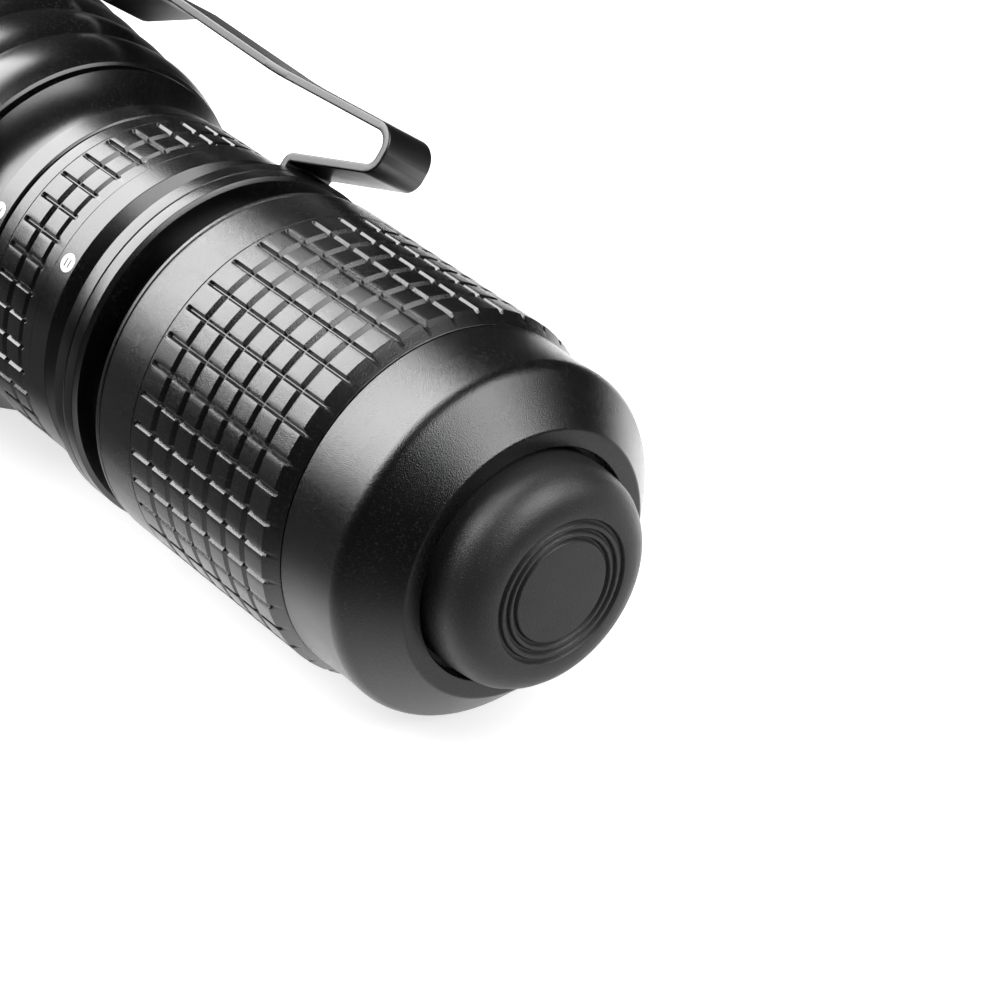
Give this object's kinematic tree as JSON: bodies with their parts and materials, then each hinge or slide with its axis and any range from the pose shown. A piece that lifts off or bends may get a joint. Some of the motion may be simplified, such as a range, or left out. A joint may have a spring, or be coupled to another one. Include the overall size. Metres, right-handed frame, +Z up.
{
  "type": "tactical flashlight",
  "caption": "Hand-held flashlight with a knurled tail cap, domed rubber tail button, turning selector ring, sliding ridged head and bent steel pocket clip.",
  "frame": {"origin": "on the ground under the middle of the light as it lies on its side", "axes": "+X along the light from the tail button to the bezel, +Z up, +Y to the left of the beam"},
  "size_m": [0.093, 0.035, 0.035],
  "materials": {
    "anodised_shell": "black anodised, fine bead-blasted satin",
    "button_rubber": "matt dark grey rubber",
    "seal_rubber": "black rubber seal",
    "dark_plastic": "black moulded plastic",
    "white_plastic": "white moulded plastic",
    "cell_wrap": "thin shrink sleeve",
    "spring_steel": "plain steel",
    "contact_brass": "plated brass",
    "circuit_board": "green board",
    "led_board_white": "white lacquered board",
    "led_phosphor": "yellow phosphor on ceramic",
    "led_silicone": "clear dome",
    "lead_insulation": "red insulation",
    "cell_body": "plain can",
    "index_white": "white paint inlay",
    "clip_steel": "black coated spring steel, satin",
    "lens_glass": "clear glass"
  },
  "bodies": {
    "barrel": {"battery_tube": "anodised_shell", "tail_o_ring": "seal_rubber", "cell_can": "cell_body", "cell_sleeve": "cell_wrap", "cell_cap": "spring_steel", "cell_insulator": "white_plastic", "tube_index_mark": "index_white", "detent_ball": "spring_steel", "detent_spring": "spring_steel", "neck": "anodised_shell", "neck_index_mark": "index_white", "driver_board": "circuit_board", "driver_parts": "dark_plastic", "driver_spring": "contact_brass", "driver_retaining_ring": "contact_brass", "led_board": "led_board_white", "led_package": "led_phosphor", "led_dome": "led_silicone", "led_board_screws": "spring_steel", "led_leads": "lead_insulation", "head_stop_ring": "spring_steel"},
    "tail_contact": {"tail_spring": "contact_brass"},
    "tail_cap": {"tail_bezel": "anodised_shell", "tail_grip": "anodised_shell", "switch_body": "dark_plastic", "switch_housing": "dark_plastic", "switch_spring": "spring_steel", "tail_board": "circuit_board", "switch_retaining_ring": "contact_brass"},
    "button": {"button_cover": "button_rubber", "button_plunger": "dark_plastic", "switch_pin": "white_plastic"},
    "clip_ring": {"clip_collar": "clip_steel"},
    "clip_lever": {"clip_arm": "clip_steel"},
    "selector": {"selector_ring": "anodised_shell", "selector_magnet": "spring_steel"},
    "head": {"head_shell": "anodised_shell", "head_o_ring": "seal_rubber", "lens": "lens_glass", "lens_seal": "seal_rubber", "bezel_ring": "anodised_shell"}
  },
  "joints": [
    {"name": "tail_cap_shift", "type": "slide", "parent": "barrel", "child": "tail_contact", "axis": [-1, 0, 0], "range_m": [0, 0.0063], "deforming": ["tail_spring"]},
    {"name": "tail_cap_turn", "type": "hinge", "parent": "tail_contact", "child": "tail_cap", "pos_m": [-0.029, 0, 0.0175], "axis": [-1, 0, 0], "range_deg": [0, 1800]},
    {"name": "button_press", "type": "slide", "parent": "tail_cap", "child": "button", "axis": [1, 0, 0], "range_m": [0, 0.002], "stiffness_N_per_m": 1200, "springref_m": -0.001, "deforming": ["switch_spring"]},
    {"name": "clip_swivel", "type": "hinge", "parent": "barrel", "child": "clip_ring", "pos_m": [-0.0058, 0, 0.0175], "axis": [1, 0, 0], "continuous": true},
    {"name": "clip_flex", "type": "hinge", "parent": "clip_ring", "child": "clip_lever", "pos_m": [-0.0143, -0.01136, 0.03153], "axis": [0, -0.7771, -0.6293], "range_deg": [0, 4], "stiffness_Nm_per_rad": 8},
    {"name": "selector_turn", "type": "hinge", "parent": "barrel", "child": "selector", "pos_m": [0.002, 0, 0.0175], "axis": [1, 0, 0], "range_deg": [0, 90]},
    {"name": "head_slide", "type": "slide", "parent": "barrel", "child": "head", "axis": [1, 0, 0], "range_m": [0, 0.007]}
  ],
  "couplings": [
    {"joint": "tail_cap_shift", "follows": "tail_cap_turn", "m_per_rad": 0.00019894}
  ]
}
